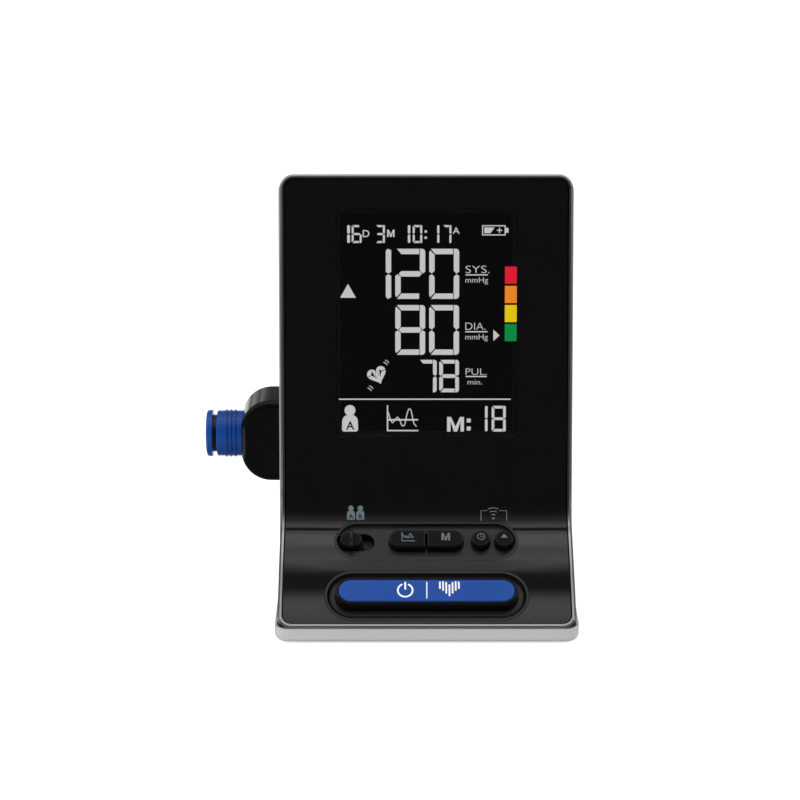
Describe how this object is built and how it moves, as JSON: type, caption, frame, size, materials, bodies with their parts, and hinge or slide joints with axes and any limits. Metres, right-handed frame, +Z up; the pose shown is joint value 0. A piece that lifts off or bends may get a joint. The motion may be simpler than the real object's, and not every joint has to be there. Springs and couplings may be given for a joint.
{
  "type": "desktop blood pressure monitor",
  "caption": "Leaning display panel that curves into a key deck on a silver housing, with a quick-release hose socket on the left side.",
  "frame": {"origin": "on the table, under the middle of the base plate", "axes": "+X to the user's right, +Y from the user to the back, +Z up"},
  "size_m": [0.1342, 0.09, 0.1507],
  "materials": {
    "gloss_black": "gloss",
    "dark_chrome": "dark polished",
    "silver": "satin silver paint",
    "satin_black": "satin",
    "blue": "gloss",
    "smoked_glass": "smoked, polished",
    "display_glass": "polished",
    "diffuser": "frosted",
    "white_plastic": "moulded",
    "board": "solder mask",
    "chip": "moulded",
    "steel": "plain",
    "black_plastic": "moulded",
    "rubber": "matt",
    "silicone": "translucent",
    "aluminium": "plain",
    "contact_metal": "nickel plated",
    "cell_sleeve": "printed sleeve",
    "cable": "flat cable"
  },
  "bodies": {
    "monitor": {"air_manifold": "white_plastic", "backlight": "diffuser", "base_plate": "silver", "base_screws": "steel", "battery_box": "satin_black", "battery_cell_1": "cell_sleeve", "battery_cell_2": "cell_sleeve", "battery_cell_3": "cell_sleeve", "battery_cell_4": "cell_sleeve", "buzzer": "chip", "capacitors": "aluminium", "display_frame": "white_plastic", "display_glass": "display_glass", "display_window": "smoked_glass", "dome_switches": "steel", "flat_cable": "cable", "front_housing": "satin_black", "front_panel": "gloss_black", "jack_pin": "contact_metal", "key_board": "board", "key_board_screws": "steel", "key_tray": "gloss_black", "lower_contacts": "contact_metal", "main_board": "board", "main_board_screws": "steel", "memory_chip": "chip", "port_housing": "gloss_black", "power_jack": "black_plastic", "pressure_sensor": "chip", "processor": "chip", "pump_head": "black_plastic", "pump_motor": "steel", "pump_sleeves": "rubber", "pump_tube": "silicone", "radio_module": "steel", "rear_housing": "silver", "release_valve": "steel", "return_ring": "rubber", "rubber_feet": "rubber", "seal_ring": "rubber", "sensor_tube": "silicone", "shell_screws": "steel", "slide_switch": "chip", "socket_body": "blue", "socket_core": "satin_black", "start_bezel": "gloss_black", "trim_frame": "dark_chrome", "upper_contacts": "contact_metal"},
    "start_key": {"start_button": "gloss_black", "start_inlay": "blue"},
    "graph_key": {"graph_button": "gloss_black"},
    "memory_key": {"memory_button": "gloss_black"},
    "clock_key": {"clock_button": "gloss_black"},
    "up_key": {"up_button": "gloss_black"},
    "user_switch": {"user_knob": "gloss_black"},
    "hose_release": {"release_sleeve": "satin_black", "release_flange": "blue"},
    "door": {"battery_door": "silver"}
  },
  "joints": [
    {"name": "start_press", "type": "slide", "parent": "monitor", "child": "start_key", "axis": [0, 0.5736, -0.8192], "range_m": [0, 0.0009], "stiffness_N_per_m": 600, "springref_m": -0.0006},
    {"name": "graph_press", "type": "slide", "parent": "monitor", "child": "graph_key", "axis": [0, 0.5736, -0.8192], "range_m": [0, 0.0008], "stiffness_N_per_m": 400, "springref_m": -0.0006},
    {"name": "memory_press", "type": "slide", "parent": "monitor", "child": "memory_key", "axis": [0, 0.5736, -0.8192], "range_m": [0, 0.0008], "stiffness_N_per_m": 400, "springref_m": -0.0006},
    {"name": "clock_press", "type": "slide", "parent": "monitor", "child": "clock_key", "axis": [0, 0.5736, -0.8192], "range_m": [0, 0.0008], "stiffness_N_per_m": 400, "springref_m": -0.0006},
    {"name": "up_press", "type": "slide", "parent": "monitor", "child": "up_key", "axis": [0, 0.5736, -0.8192], "range_m": [0, 0.0008], "stiffness_N_per_m": 400, "springref_m": -0.0006},
    {"name": "user_select", "type": "slide", "parent": "monitor", "child": "user_switch", "axis": [1, 0, 0], "range_m": [0, 0.0032]},
    {"name": "hose_release_press", "type": "slide", "parent": "monitor", "child": "hose_release", "axis": [1, 0, 0], "range_m": [0, 0.0012], "stiffness_N_per_m": 800, "springref_m": -0.0006, "deforming": ["return_ring"]},
    {"name": "battery_door_hinge", "type": "hinge", "parent": "monitor", "child": "door", "pos_m": [0, 0.044, 0.00955], "axis": [-1, 0, 0], "range_deg": [0, 88]}
  ]
}
